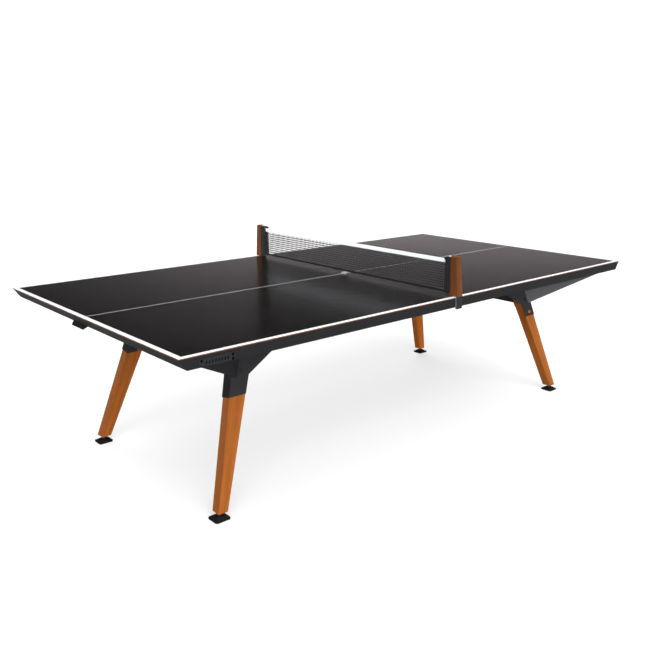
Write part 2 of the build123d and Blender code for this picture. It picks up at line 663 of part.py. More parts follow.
def tapered_bar(sy, inner_y, outer_ys, half_widths, levels):
    """A solid bar between two levels that narrows as it rises."""
    inside = sy * inner_y
    sections = []
    for z, outer_y, half in zip(levels, outer_ys, half_widths):
        outside = sy * outer_y
        with BuildSketch(Plane.XY.offset(z)) as section:
            with BuildLine():
                Polyline((-half, inside), (half, inside), (half, outside), (-half, outside), close=True)
            make_face()
        sections.append(section.sketch)
    loft(sections)


def net_post(sy):
    """Wooden net post, wider at its foot, standing on the edge of the table."""
    with BuildPart() as post:
        tapered_bar(sy, POST_INNER_Y, POST_OUTER_Y, POST_HALF_WIDTH, (POST_BOTTOM, POST_TOP))
        top_edges = post.edges().group_by(Axis.Z)[-1].sort_by(Axis.Y)
        chamfer(top_edges[:-1] if sy < 0 else top_edges[1:], POST_EDGE)
    return post


def post_shoes():
    """Steel shoes under the posts, each with a flat tongue that drops into its socket."""
    tongue_in, tongue_out = TONGUE_Y
    plate_low = POST_BOTTOM - SHOE_SHEET
    with BuildPart() as shoes:
        for sy in SIDES.values():
            block(
                (-SHOE_HALF_WIDTH, sy * (POST_INNER_Y + SHOE_SETBACK), plate_low),
                (SHOE_HALF_WIDTH, sy * tongue_out, POST_BOTTOM),
            )
            block(
                (-TONGUE_HALF_WIDTH, sy * tongue_in, TONGUE_BOTTOM),
                (TONGUE_HALF_WIDTH, sy * tongue_out, POST_BOTTOM),
            )
        chamfer(shoes.faces().group_by(Axis.Z)[0].edges().filter_by(Axis.X), TONGUE_LEAD_IN)
    return shoes


def net_clip(sy):
    """Black clamp bar on the inner face of a post, slotted for the end of the net."""
    with BuildPart() as clip:
        inner_ys = (CLIP_INNER_Y, CLIP_INNER_Y)
        tapered_bar(sy, POST_INNER_Y, inner_ys, CLIP_HALF_WIDTH, (CLIP_BOTTOM, CLIP_TOP))
        top_edges = clip.edges().group_by(Axis.Z)[-1].filter_by(Axis.X).sort_by(Axis.Y)
        chamfer(top_edges[-1] if sy < 0 else top_edges[0], *CLIP_CORNER)
        block(
            (-CLIP_SLOT_HALF_WIDTH, sy * CLIP_INNER_Y, CLIP_BOTTOM),
            (CLIP_SLOT_HALF_WIDTH, sy * (CLIP_INNER_Y + CLIP_SLOT_DEPTH), NET_TOP + SMALL_GAP),
            mode=Mode.SUBTRACT,
        )
    return clip


def net_hooks():
    """Small hooks on the clamp bars that hold the cord of the net's tape."""
    with BuildPart() as hooks:
        for sy in SIDES.values():
            block(
                (-HOOK_HALF_WIDTH, sy * (POST_INNER_Y - HOOK_LENGTH), CLIP_TOP),
                (HOOK_HALF_WIDTH, sy * POST_INNER_Y, CLIP_TOP + HOOK_HEIGHT),
            )
        fillet(hooks.edges().filter_by(Axis.Y).group_by(Axis.Z)[-1], HOOK_ROUND)
    return hooks


def net_band(low, high, thickness):
    """A flat band of the net from one clamp bar to the other."""
    end_y = CLIP_INNER_Y + NET_GRIP
    with BuildPart() as band:
        block((-thickness / 2, -end_y, low), (thickness / 2, end_y, high))
    return band


# ---------------------------------------------------------------- end lips and side plates
def end_lip(sx):
    """Folded tab screwed under the end rail, its lip turned out and down."""
    roof = RAIL_BOTTOM
    with BuildPart() as lip:
        block(
            (sx * (LIP_BEND_X - LIP_FLANGE), -sx * LIP_Y[0], roof - LIP_SHEET),
            (sx * LIP_BEND_X, -sx * LIP_Y[1], roof),
        )
        slope = Vector(sx * (LIP_EDGE[0] - LIP_BEND_X), 0, LIP_EDGE[1] - roof)
        across = Vector(0, -sx, 0)
        face = Plane(origin=(sx * LIP_BEND_X, 0, roof), x_dir=slope, z_dir=slope.cross(across))
        with BuildSketch(face):
            with BuildLine():
                Polyline(
                    (0, LIP_Y[0]),
                    (0, LIP_Y[1]),
                    (slope.length, LIP_EDGE_Y[1]),
                    (slope.length, LIP_EDGE_Y[0]),
                    close=True,
                )
            make_face()
        extrude(amount=LIP_SHEET)
        with Locations(*[(sx * x, -sx * y, roof) for x, y in LIP_SCREW_SPOTS]):
            Cylinder(TRIM_SCREW_RADIUS, 4 * LIP_SHEET, mode=Mode.SUBTRACT)
    return lip


def lip_screws():
    """Screws up through the end lips into the bottom flanges of the end rails."""
    with BuildPart() as screws:
        for sx in HALVES.values():
            with Locations(*[(sx * x, -sx * y, RAIL_BOTTOM - LIP_SHEET) for x, y in LIP_SCREW_SPOTS]):
                Cylinder(LIP_HEAD_RADIUS, LIP_HEAD_HEIGHT, align=HANGING)
                Cylinder(TRIM_SCREW_RADIUS, LIP_SHEET + RAIL_SHEET, align=UPRIGHT)
    return screws


def side_plate(sx):
    """Thin plate on a side rail with one cut corner and a row of slots."""
    sy = sx
    face = Plane(origin=(0, sy * RAIL_FACE_Y, 0), x_dir=(1, 0, 0), z_dir=(0, -1, 0))
    with BuildPart() as plate:
        with BuildSketch(face):
            with BuildLine():
                Polyline(*[(sx * x, z) for x, z in SIDE_PLATE_OUTLINE], close=True)
            make_face()
            with Locations(*[(sx * (SLOT_START + SLOT_PITCH * i), SLOT_Z) for i in range(SLOT_COUNT)]):
                SlotOverall(*SLOT_SIZE, rotation=SLOT_TURN, mode=Mode.SUBTRACT)
            with Locations(*[(sx * x, z) for x, z in SIDE_PLATE_HOLES]):
                Circle(TRIM_SCREW_RADIUS, mode=Mode.SUBTRACT)
        extrude(amount=-sy * SIDE_PLATE_SHEET)
    return plate


def side_plate_screws():
    """Low dark screws that hold the side plates to their rails."""
    with BuildPart() as screws:
        for side in SIDES.values():
            outer = Plane(
                origin=(0, side * (RAIL_FACE_Y + SIDE_PLATE_SHEET), 0),
                x_dir=(1, 0, 0),
                z_dir=(0, -1, 0),
            )
            with BuildSketch(outer):
                with Locations(*[(side * x, z) for x, z in SIDE_PLATE_HOLES]):
                    Circle(TRIM_HEAD_RADIUS)
            extrude(amount=-side * TRIM_HEAD_HEIGHT)
            with BuildSketch(outer):
                with Locations(*[(side * x, z) for x, z in SIDE_PLATE_HOLES]):
                    Circle(TRIM_SCREW_RADIUS)
            extrude(amount=side * (SIDE_PLATE_SHEET + RAIL_SHEET))
    return screws


# ---------------------------------------------------------------- build and write every piece
for half_name, x_sign in HALVES.items():
    save(playing_top(x_sign), f"top_{half_name}")
    save(end_rail(x_sign), f"end_rail_{half_name}")
    save(centre_rail(x_sign), f"centre_rail_{half_name}")
    save(cross_beam(x_sign), f"cross_beam_{half_name}")
    save(end_lip(x_sign), f"end_lip_{half_name}")
    save(side_plate(x_sign), f"side_plate_{half_name}")

for corner, (x_sign, y_sign) in CORNERS.items():
    save(side_rail(x_sign, y_sign), f"side_rail_{corner}")
    save(stringer(x_sign, y_sign), f"stringer_{corner}")
    save(leg_bracket(x_sign, y_sign), f"leg_bracket_{corner}")
    save(wing_plate(x_sign, y_sign), f"wing_plate_{corner}")
    save(wooden_leg(x_sign, y_sign), f"leg_{corner}")
    save(foot_stud(x_sign, y_sign), f"foot_stud_{corner}")
    save(foot_pad(x_sign, y_sign), f"foot_pad_{corner}")

for side_name, y_sign in SIDES.items():
    save(net_bracket(y_sign), f"net_bracket_{side_name}")
    save(net_post(y_sign), f"net_post_{side_name}")
    save(net_clip(y_sign), f"net_clip_{side_name}")

save(net_band(NET_TOP - TAPE_HEIGHT, NET_TOP, TAPE_THICKNESS), "net_tape")
save(net_band(NET_BOTTOM + HEM_HEIGHT, NET_TOP - TAPE_HEIGHT, MESH_THICKNESS), "net_mesh")
save(net_band(NET_BOTTOM, NET_BOTTOM + HEM_HEIGHT, HEM_THICKNESS), "net_hem")
save(net_hooks(), "net_hooks")
save(post_shoes(), "post_shoes")
save(joint_bolts(), "joint_bolts")
save(leg_bolts(), "leg_bolts")
save(back_screws(), "back_screws")
save(panel_screws(), "panel_screws")
save(bracket_screws(), "bracket_screws")
save(lip_screws(), "lip_screws")
save(side_plate_screws(), "side_plate_screws")
save(bracket_discs(), "bracket_discs")
save(foot_inserts(), "foot_inserts")
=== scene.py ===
"""Ping pong table: materials, net, stitching, screws and studio, in metres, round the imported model."""
import math
import random

import bmesh
import bpy
from mathutils import Euler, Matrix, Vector


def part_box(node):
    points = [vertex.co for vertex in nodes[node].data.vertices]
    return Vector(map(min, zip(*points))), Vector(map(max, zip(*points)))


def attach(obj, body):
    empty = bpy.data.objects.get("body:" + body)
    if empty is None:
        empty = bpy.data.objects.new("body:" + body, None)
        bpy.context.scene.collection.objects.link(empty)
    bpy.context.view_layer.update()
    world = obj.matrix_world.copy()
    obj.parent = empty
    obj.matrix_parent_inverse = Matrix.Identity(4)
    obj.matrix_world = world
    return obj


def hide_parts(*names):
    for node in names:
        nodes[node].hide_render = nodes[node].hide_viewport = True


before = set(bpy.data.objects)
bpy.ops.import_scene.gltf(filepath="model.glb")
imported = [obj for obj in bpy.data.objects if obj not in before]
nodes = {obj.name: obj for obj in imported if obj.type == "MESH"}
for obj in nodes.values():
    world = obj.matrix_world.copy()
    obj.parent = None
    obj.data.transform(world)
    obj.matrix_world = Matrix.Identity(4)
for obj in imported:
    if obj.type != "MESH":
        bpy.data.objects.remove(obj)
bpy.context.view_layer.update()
MM = 0.001
CORNERS = ("nl", "nr", "fl", "fr")
SIDES = {"near": -1, "far": 1}


# ---------------------------------------------------------------- shader helpers
SRGB_TOE = 0.04045
SRGB_SLOPE = 12.92
SRGB_OFFSET = 0.055
SRGB_POWER = 2.4
MIX_FACTOR, MIX_FIRST, MIX_SECOND = 0, 6, 7      # a colour Mix node's inputs
MIX_RESULT = 2                                   # and its output
NOISE_BAND = (0.3, 0.7)                          # where most of a noise texture's values lie


def linear(red, green, blue):
    """An 8-bit screen colour as a linear RGBA colour."""
    channels = []
    for value in (red, green, blue):
        share = value / 255
        if share <= SRGB_TOE:
            channels.append(share / SRGB_SLOPE)
        else:
            channels.append(((share + SRGB_OFFSET) / (1 + SRGB_OFFSET)) ** SRGB_POWER)
    return channels + [1.0]


def fill_ramp(ramp_node, stops):
    """Set a colour ramp's stops: (position, colour) pairs."""
    elements = ramp_node.color_ramp.elements
    while len(elements) < len(stops):
        elements.new(0.5)
    for element, (position, colour) in zip(elements, stops):
        element.position = position
        element.color = colour


class Shader:
    """A Principled material and short ways to add nodes to it."""

    def __init__(self, name, roughness, metallic=0.0, specular=0.5):
        self.material = bpy.data.materials.new(name)
        self.material.use_nodes = True
        self.tree = self.material.node_tree
        self.surface = self.tree.nodes["Principled BSDF"]
        self.surface.inputs["Roughness"].default_value = roughness
        self.surface.inputs["Metallic"].default_value = metallic
        self.surface.inputs["Specular IOR Level"].default_value = specular

    def add(self, kind, **settings):
        """Add a node and set its properties."""
        made = self.tree.nodes.new(kind)
        for name, value in settings.items():
            setattr(made, name, value)
        return made

    def feed(self, value, socket):
        """Link a socket, or set a constant, on another socket."""
        if isinstance(value, bpy.types.NodeSocket):
            self.tree.links.new(value, socket)
        else:
            socket.default_value = value

    def place(self, rotation=(0, 0, 0), scale=(1, 1, 1)):
        """Object coordinates, turned and stretched."""
        coordinates = self.add("ShaderNodeTexCoord")
        mapping = self.add("ShaderNodeMapping")
        mapping.inputs["Rotation"].default_value = rotation
        mapping.inputs["Scale"].default_value = scale
        self.feed(coordinates.outputs["Object"], mapping.inputs["Vector"])
        return mapping.outputs["Vector"]

    def axes(self, vector):
        """A vector's X, Y and Z."""
        split = self.add("ShaderNodeSeparateXYZ")
        self.feed(vector, split.inputs[0])
        return split.outputs

    def facing_ends(self):
        """How squarely a face looks along the table's length, from 0 to 1."""
        normal = self.add("ShaderNodeTexCoord").outputs["Normal"]
        return self.math("ABSOLUTE", self.axes(normal)["X"])

    def noise(self, vector, scale, detail=3.0, roughness=0.5):
        made = self.add("ShaderNodeTexNoise")
        self.feed(vector, made.inputs["Vector"])
        made.inputs["Scale"].default_value = scale
        made.inputs["Detail"].default_value = detail
        made.inputs["Roughness"].default_value = roughness
        return made.outputs["Fac"]

    def wave(self, vector, scale, direction, distortion):
        made = self.add("ShaderNodeTexWave", bands_direction=direction)
        self.feed(vector, made.inputs["Vector"])
        made.inputs["Scale"].default_value = scale
        made.inputs["Distortion"].default_value = distortion
        return made.outputs["Fac"]

    def math(self, operation, first, second=0.0):
        made = self.add("ShaderNodeMath", operation=operation)
        self.feed(first, made.inputs[0])
        self.feed(second, made.inputs[1])
        return made.outputs[0]

    def vector_math(self, operation, vector, constant):
        made = self.add("ShaderNodeVectorMath", operation=operation)
        self.feed(vector, made.inputs[0])
        self.feed(constant, made.inputs[1])
        return made.outputs[0]

    def remap(self, value, to, over=(0.0, 1.0)):
        """Spread one range of a value over another."""
        made = self.add("ShaderNodeMapRange")
        self.feed(value, made.inputs["Value"])
        made.inputs["From Min"].default_value, made.inputs["From Max"].default_value = over
        made.inputs["To Min"].default_value, made.inputs["To Max"].default_value = to
        return made.outputs["Result"]

    def ramp(self, value, stops):
        made = self.add("ShaderNodeValToRGB")
        self.feed(value, made.inputs["Fac"])
        fill_ramp(made, stops)
        return made.outputs["Color"]

    def mix(self, factor, first, second):
        made = self.add("ShaderNodeMix", data_type="RGBA")
        self.feed(factor, made.inputs[MIX_FACTOR])
        self.feed(first, made.inputs[MIX_FIRST])
        self.feed(second, made.inputs[MIX_SECOND])
        return made.outputs[MIX_RESULT]

    def blend(self, factor, shades):
        """A colour between two screen colours."""
        first, second = shades
        return self.mix(factor, linear(*first), linear(*second))

    def bump(self, height, distance, strength=1.0):
        made = self.add("ShaderNodeBump")
        made.inputs["Strength"].default_value = strength
        made.inputs["Distance"].default_value = distance
        self.feed(height, made.inputs["Height"])
        self.feed(made.outputs["Normal"], self.surface.inputs["Normal"])

    def colour(self, value):
        self.feed(value, self.surface.inputs["Base Color"])

    def roughness(self, noise, low, high):
        """Let the roughness follow a noise texture between two values."""
        self.feed(self.remap(noise, to=(low, high), over=NOISE_BAND), self.surface.inputs["Roughness"])


# ---------------------------------------------------------------- materials
# Colours are 8-bit screen colours. Noise scales are in features per metre, and a wave texture has about
# three bands per metre for each unit of its scale.
LINE_WIDTH = 20 * MM
CENTRE_LINE_WIDTH = 3 * MM
FACE_DEPTH = 0.4 * MM                            # how deep the printed face reaches into the edge
CORE_HALF_HEIGHT = 1.6 * MM
LAMINATE_SHADES = ((12, 12, 12), (15, 14, 14))
LAMINATE_FLECK = (21, 20, 20)
LAMINATE_GRAIN = 900
LAMINATE_CLOUD = 1.6
LAMINATE_SMEAR = 8
LINE_SHADES = ((238, 240, 242), (250, 251, 252))
LINE_GRAIN = 90
CORE_SHADES = ((86, 50, 30), (134, 84, 54))
CORE_LAYERS = (12, 12, 1400)
EDGE_SHADE = (26, 26, 27)


def laminate(half_length, half_width, top, bottom):
    """Satin charcoal laminate with painted lines on top and a brown core in its edge."""
    made = Shader("laminate_top", 0.23, specular=0.40)
    x, y, z = made.axes(made.place())
    from_end = made.math("SUBTRACT", half_length, made.math("ABSOLUTE", x))
    from_side = made.math("SUBTRACT", half_width, made.math("ABSOLUTE", y))
    border = made.math("LESS_THAN", made.math("MINIMUM", from_end, from_side), LINE_WIDTH)
    centre = made.math("LESS_THAN", made.math("ABSOLUTE", y), CENTRE_LINE_WIDTH / 2)
    on_top = made.math("GREATER_THAN", z, top - FACE_DEPTH)
    grain = made.noise(made.place(), LAMINATE_GRAIN)
    dark = made.blend(made.noise(made.place(), LAMINATE_CLOUD, detail=2.0), LAMINATE_SHADES)
    dark = made.mix(made.remap(grain, to=(0.0, 0.25)), dark, linear(*LAMINATE_FLECK))
    paint_white = made.blend(made.noise(made.place(), LINE_GRAIN), LINE_SHADES)
    face = made.mix(made.math("MAXIMUM", border, centre), dark, paint_white)
    core = made.blend(made.noise(made.place(scale=CORE_LAYERS), 1.0), CORE_SHADES)
    from_middle = made.math("ABSOLUTE", made.math("SUBTRACT", z, (top + bottom) / 2))
    in_core = made.math("LESS_THAN", from_middle, CORE_HALF_HEIGHT)
    edge = made.mix(in_core, linear(*EDGE_SHADE), core)
    made.colour(made.mix(on_top, edge, face))
    made.roughness(made.noise(made.place(), LAMINATE_SMEAR, detail=4.0), 0.21, 0.245)
    made.bump(grain, 0.006 * MM, strength=0.1)
    return made.material


WOOD_STRETCH = (1.0, 1.0, 0.05)                  # the figure is drawn out along the grain
WOOD_SIDESTEP = 0.7                              # moves each piece to its own place in the figure
WOOD_RINGS = 9.0
WOOD_RING_WANDER = 7.0
WOOD_RING_SHARE = 0.18
WOOD_STREAKS = 130
WOOD_PORES = 1100
WOOD_CLOUD = 12
WOOD_STOPS = (0.22, 0.5, 0.78)                   # where the dark, middle and light tones lie
WARM_SHARE = 0.92
PORE_SHARE = 0.62


def hardwood(name, turn, shades, seed):
    """Oiled hardwood: turn rotates the piece's length onto Z, along which the grain runs."""
    made = Shader(name, 0.46, specular=0.35)
    dark, light = shades
    middle = [(a + b) / 2 for a, b in zip(dark, light)]
    warm = [c * WARM_SHARE for c in middle]
    pore = [c * PORE_SHARE for c in dark]
    moved = made.vector_math("ADD", made.place(rotation=turn), (seed, seed * WOOD_SIDESTEP, 0))
    grown = made.vector_math("MULTIPLY", moved, WOOD_STRETCH)
    rings = made.wave(grown, WOOD_RINGS, "X", WOOD_RING_WANDER)
    streaks = made.noise(grown, WOOD_STREAKS, detail=6.0, roughness=0.6)
    fine = made.noise(grown, WOOD_PORES)
    broad = made.noise(grown, WOOD_CLOUD, detail=2.0)
    ring_tone = made.math("MULTIPLY", rings, WOOD_RING_SHARE)
    tone = made.math("ADD", ring_tone, made.math("MULTIPLY", streaks, 1 - WOOD_RING_SHARE))
    tones = [linear(*shade) for shade in (dark, middle, light)]
    base = made.ramp(tone, list(zip(WOOD_STOPS, tones)))
    base = made.mix(made.remap(broad, to=(0.0, 0.5), over=(0.35, 0.7)), base, linear(*warm))
    pores = made.remap(fine, to=(0.0, 0.45), over=(0.57, 0.74))
    made.colour(made.mix(pores, base, linear(*pore)))
    made.roughness(streaks, 0.40, 0.56)
    made.bump(made.math("SUBTRACT", streaks, pores), 0.10 * MM, strength=0.4)
    return made.material


COAT_PEEL = 700
COAT_CLOUD = 9
COAT_SPECKS = 1600
COAT_SPECK_LIFT = 10
PAINTED_SHADE_SIDES = (0.62, 0.82)                         # faces change from front to side over this range, and the side ones take painted shade


def powder_coat(name, shades, roughness=0.46, painted_side_shade=None):
    """Powder coat with an orange-peel surface; a side colour, if given, is painted shade on faces that look
    to the ends.
    """
    made = Shader(name, roughness, specular=0.28)
    peel = made.noise(made.place(), COAT_PEEL, detail=2.0)
    base = made.blend(made.noise(made.place(), COAT_CLOUD), shades)
    # painted shade: faces that look to the ends are darkened towards the side colour
    if painted_side_shade:
        painted_shade_share = made.remap(made.facing_ends(), to=(0.0, 1.0), over=PAINTED_SHADE_SIDES)
        base = made.mix(painted_shade_share, base, linear(*painted_side_shade))
    specks = made.noise(made.place(), COAT_SPECKS, detail=1.0)
    speck_colour = linear(*[c + COAT_SPECK_LIFT for c in shades[1]])
    made.colour(made.mix(made.remap(specks, to=(0.0, 0.4), over=(0.62, 0.75)), base, speck_colour))
    made.roughness(peel, roughness - 0.07, roughness + 0.08)
    made.bump(peel, 0.06 * MM, strength=0.4)
    return made.material


PLASTIC_DUST = 60
PLASTIC_DUST_LIFT = 9


def moulded_plastic(name, shade, roughness=0.45, grain=1100, shine=0.4):
    """Moulded plastic or rubber with a spark-eroded surface and a little dust."""
    made = Shader(name, roughness, specular=shine)
    grit = made.noise(made.place(), grain, detail=2.0)
    dust = made.noise(made.place(), PLASTIC_DUST, detail=4.0)
    dusty = [c + PLASTIC_DUST_LIFT for c in shade]
    made.colour(made.blend(made.remap(dust, to=(0.0, 0.6), over=(0.45, 0.75)), (shade, dusty)))
    made.roughness(grit, roughness - 0.06, roughness + 0.1)
    made.bump(grit, 0.05 * MM, strength=0.5)
    return made.material


ZINC_SHADES = ((168, 168, 166), (196, 197, 198))
ZINC_CLOUD = 120
ZINC_BRUSHING = 500
ZINC_BRUSH_STRETCH = (1, 1, 12)


def zinc_steel(name="zinc_steel", shades=ZINC_SHADES):
    """Zinc-plated steel, a little cloudy, with fine brushing."""
    made = Shader(name, 0.35, metallic=1.0)
    lines = made.noise(made.place(scale=ZINC_BRUSH_STRETCH), ZINC_BRUSHING, detail=2.0)
    made.colour(made.blend(made.noise(made.place(), ZINC_CLOUD, detail=4.0), shades))
    made.roughness(lines, 0.28, 0.46)
    made.bump(lines, 0.02 * MM, strength=0.4)
    return made.material


EXTRUSION_SHADES = ((27, 28, 30), (33, 34, 36))
BARE_SHADES = ((150, 152, 155), (196, 198, 202))
BARE_METAL = 0.8
SAWN_FACING = 0.8                                # a face that looks further along X than this was sawn
SAW_MARKS = 420
SAW_STRETCH = (1, 1, 14)


def sawn_extrusion():
    """Powder-coated aluminium extrusion with bare, brushed ends where it was sawn to length."""
    made = Shader("net_bracket_coat", 0.5, specular=0.45)
    sawn = made.math("GREATER_THAN", made.facing_ends(), SAWN_FACING)
    peel = made.noise(made.place(), COAT_PEEL, detail=2.0)
    saw_marks = made.noise(made.place(scale=SAW_STRETCH), SAW_MARKS, detail=2.0)
    coat = made.blend(peel, EXTRUSION_SHADES)
    made.colour(made.mix(sawn, coat, made.blend(saw_marks, BARE_SHADES)))
    made.feed(made.math("MULTIPLY", sawn, BARE_METAL), made.surface.inputs["Metallic"])
    made.roughness(peel, 0.42, 0.56)
    made.bump(made.math("ADD", peel, saw_marks), 0.04 * MM, strength=0.4)
    return made.material


COPPER_SHADES = ((176, 84, 36), (222, 126, 66))
COPPER_FLAKE = 1500


def copper_paint():
    """Satin copper-coloured metallic paint."""
    made = Shader("copper_trim", 0.34, metallic=0.6)
    flake = made.noise(made.place(), COPPER_FLAKE, detail=2.0)
    made.colour(made.blend(flake, COPPER_SHADES))
    made.roughness(flake, 0.28, 0.42)
    made.bump(flake, 0.02 * MM, strength=0.4)
    return made.material


CLOTH_WAVE = 1000 / math.tau                     # threads about 2 mm apart
CLOTH_WANDER = 0.4
CLOTH_SOIL = 24


def woven(name, shades, sheen):
    """Plain-woven cloth: warp along Y crossed by weft along Z."""
    made = Shader(name, 0.8, specular=0.25)
    made.surface.inputs["Sheen Weight"].default_value = sheen
    warp = made.wave(made.place(), CLOTH_WAVE, "Y", CLOTH_WANDER)
    weft = made.wave(made.place(), CLOTH_WAVE, "Z", CLOTH_WANDER)
    weave = made.math("MAXIMUM", warp, weft)
    soil = made.noise(made.place(), CLOTH_SOIL, detail=4.0)
    soiled = made.remap(soil, to=(0.0, 0.35), over=(0.45, 0.8))
    made.colour(made.mix(soiled, made.blend(weave, shades), linear(*shades[0])))
    made.roughness(soil, 0.75, 0.88)
    made.bump(weave, 0.15 * MM, strength=0.6)
    return made.material


TWIST_WAVE = 110.0
TWIST_TURN = (0.7, 0, 0)
TWIST_WANDER = 0.6
TWINE_FUZZ = 900


def twine(name, shades):
    """Twisted twine or thread."""
    made = Shader(name, 0.7, specular=0.3)
    made.surface.inputs["Sheen Weight"].default_value = 0.15
    twist = made.wave(made.place(rotation=TWIST_TURN), TWIST_WAVE, "Y", TWIST_WANDER)
    fuzz = made.noise(made.place(), TWINE_FUZZ, detail=2.0)
    made.colour(made.blend(made.math("MULTIPLY", twist, fuzz), shades))
    made.roughness(fuzz, 0.6, 0.85)
    made.bump(twist, 0.1 * MM, strength=0.6)
    return made.material


# ---------------------------------------------------------------- mesh helpers
MERGE_DISTANCE = 1e-7
CORD_SMOOTH = 60                                 # edges sharper than this many degrees stay crisp
CLOTH_SMOOTH = 50
METAL_SMOOTH = 40
PLASTIC_SMOOTH = 35


def paint(obj, material):
    """Give an object one material on every face."""
    obj.data.materials.clear()
    obj.data.materials.append(material)


def finished(name, bm, material, body, smooth_angle, replaces=()):
    """Turn a bmesh into a piece that rides on a body and stands in for CAD nodes."""
    bmesh.ops.remove_doubles(bm, verts=bm.verts, dist=MERGE_DISTANCE)
    bmesh.ops.recalc_face_normals(bm, faces=bm.faces)
    mesh = bpy.data.meshes.new(name)
    bm.to_mesh(mesh)
    bm.free()
    obj = bpy.data.objects.new(name, mesh)
    bpy.context.scene.collection.objects.link(obj)
    paint(obj, material)
    for polygon in mesh.polygons:
        polygon.use_smooth = True
    mesh.set_sharp_from_angle(angle=math.radians(smooth_angle))
    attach(obj, body)
    if replaces:
        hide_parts(*replaces)
    return obj


def ring_strip(bm, rings):
    """Join rings of points, each the same length, into one closed tube."""
    made = [[bm.verts.new(p) for p in ring] for ring in rings]
    count = len(made[0])
    for first, second in zip(made, made[1:]):
        for i in range(count):
            j = (i + 1) % count
            bm.faces.new((first[i], first[j], second[j], second[i]))
    bm.faces.new(list(reversed(made[0])))
    bm.faces.new(made[-1])


def circle_angles(count):
    return [math.tau * k / count for k in range(count)]


def tube(bm, points, radius, sides, flatness=1.0):
    """A thin tube along points; flatness squeezes it along X."""
    rings = []
    for i, point in enumerate(points):
        before = points[max(i - 1, 0)]
        after = points[min(i + 1, len(points) - 1)]
        along = (Vector(after) - Vector(before)).normalized()
        side = along.cross(Vector((1, 0, 0))).normalized()
        up = along.cross(side)
        rings.append([
            Vector(point) + radius * (math.cos(a) * side + flatness * math.sin(a) * up)
            for a in circle_angles(sides)
        ])
    ring_strip(bm, rings)


# ---------------------------------------------------------------- CAD nodes: materials and rounded edges
EDGE_ANGLE = 35
SHEET_EDGE = 0.5 * MM
LEG_LEAN = (0.321, 0.194)                        # how far a leg moves out along X and Y for each metre down
COMMON_WOOD = ((118, 61, 12), (160, 91, 32))
# painted light: the far right leg's wood is lighter, making up for the light the table top keeps off it
LIGHT_PAINTED_WOOD = ((146, 76, 12), (196, 108, 30))
LEG_WOOD = {"nl": COMMON_WOOD, "nr": COMMON_WOOD, "fl": COMMON_WOOD, "fr": LIGHT_PAINTED_WOOD}
POST_WOOD = ((72, 38, 14), (108, 64, 30))
LEG_SEED_STEP = 0.37
POST_SEED = 2.1


def soften(name, width, segments):
    """Round a CAD node's edges with a bevel modifier."""
    modifier = nodes[name].modifiers.new("edge_round", "BEVEL")
    modifier.width = width
    modifier.segments = segments
    modifier.limit_method = "ANGLE"
    modifier.angle_limit = math.radians(EDGE_ANGLE)
    modifier.use_clamp_overlap = True
    modifier.harden_normals = True


def dress(names, material, edge=0.0, segments=2):
    """Paint CAD nodes and round their edges."""
    for name in names:
        paint(nodes[name], material)
        if edge:
            soften(name, edge, segments)


def named(*starts):
    """The CAD nodes whose names start with one of these words."""
    return [name for name in nodes if name.startswith(starts)]


def length_turn(corner):
    """Euler turn that brings a splayed leg's length onto Z."""
    sx = 1 if "r" in corner else -1
    sy = 1 if "f" in corner else -1
    direction = Vector((sx * LEG_LEAN[0], sy * LEG_LEAN[1], -1.0)).normalized()
    return direction.rotation_difference(Vector((0, 0, -1))).to_euler("XYZ")


def dress_steel():
    steel = powder_coat("grey_powder_coat", ((23, 24, 25), (28, 29, 30)), roughness=0.5)
    beam_steel = powder_coat("beam_powder_coat", ((31, 32, 34), (36, 37, 39)))
    # painted sheen: a lighter coat stands in for the sheen on the wing plates at the right end
    sheen_painted_steel = powder_coat("painted_sheen_powder_coat", ((66, 66, 69), (76, 76, 79)))
    # the leg brackets' end-facing sides get painted shade, darker than their fronts
    bracket_steel = powder_coat(
        "bracket_coat_painted_side_shade", ((33, 34, 36), (38, 39, 41)), painted_side_shade=(11, 11, 12)
    )
    plate_steel = powder_coat("side_plate_coat", ((30, 31, 33), (37, 38, 40)), roughness=0.42)
    dress(named("side_rail", "end_rail", "centre_rail", "stringer", "end_lip"), steel, SHEET_EDGE)
    dress(named("leg_bracket"), bracket_steel, SHEET_EDGE)
    # the right-end wing plates carry the painted sheen coat
    dress(["wing_plate_nr", "wing_plate_fr"], sheen_painted_steel, SHEET_EDGE)
    dress(["wing_plate_nl", "wing_plate_fl"], beam_steel, SHEET_EDGE)
    dress(named("cross_beam"), beam_steel, SHEET_EDGE)
    dress(named("net_bracket"), sawn_extrusion(), 0.4 * MM)
    dress(["side_plate_left", "side_plate_right"], plate_steel, 0.4 * MM)


def dress_wood():
    for i, corner in enumerate(CORNERS):
        seed = LEG_SEED_STEP * (i + 1)
        wood = hardwood(f"hardwood_{corner}", length_turn(corner), LEG_WOOD[corner], seed)
        dress([f"leg_{corner}"], wood, 1.5 * MM, segments=3)
    for i, side in enumerate(SIDES):
        wood = hardwood(f"post_wood_{side}", (0, 0, 0), POST_WOOD, POST_SEED + i)
        dress([f"net_post_{side}"], wood, 1.0 * MM, segments=3)


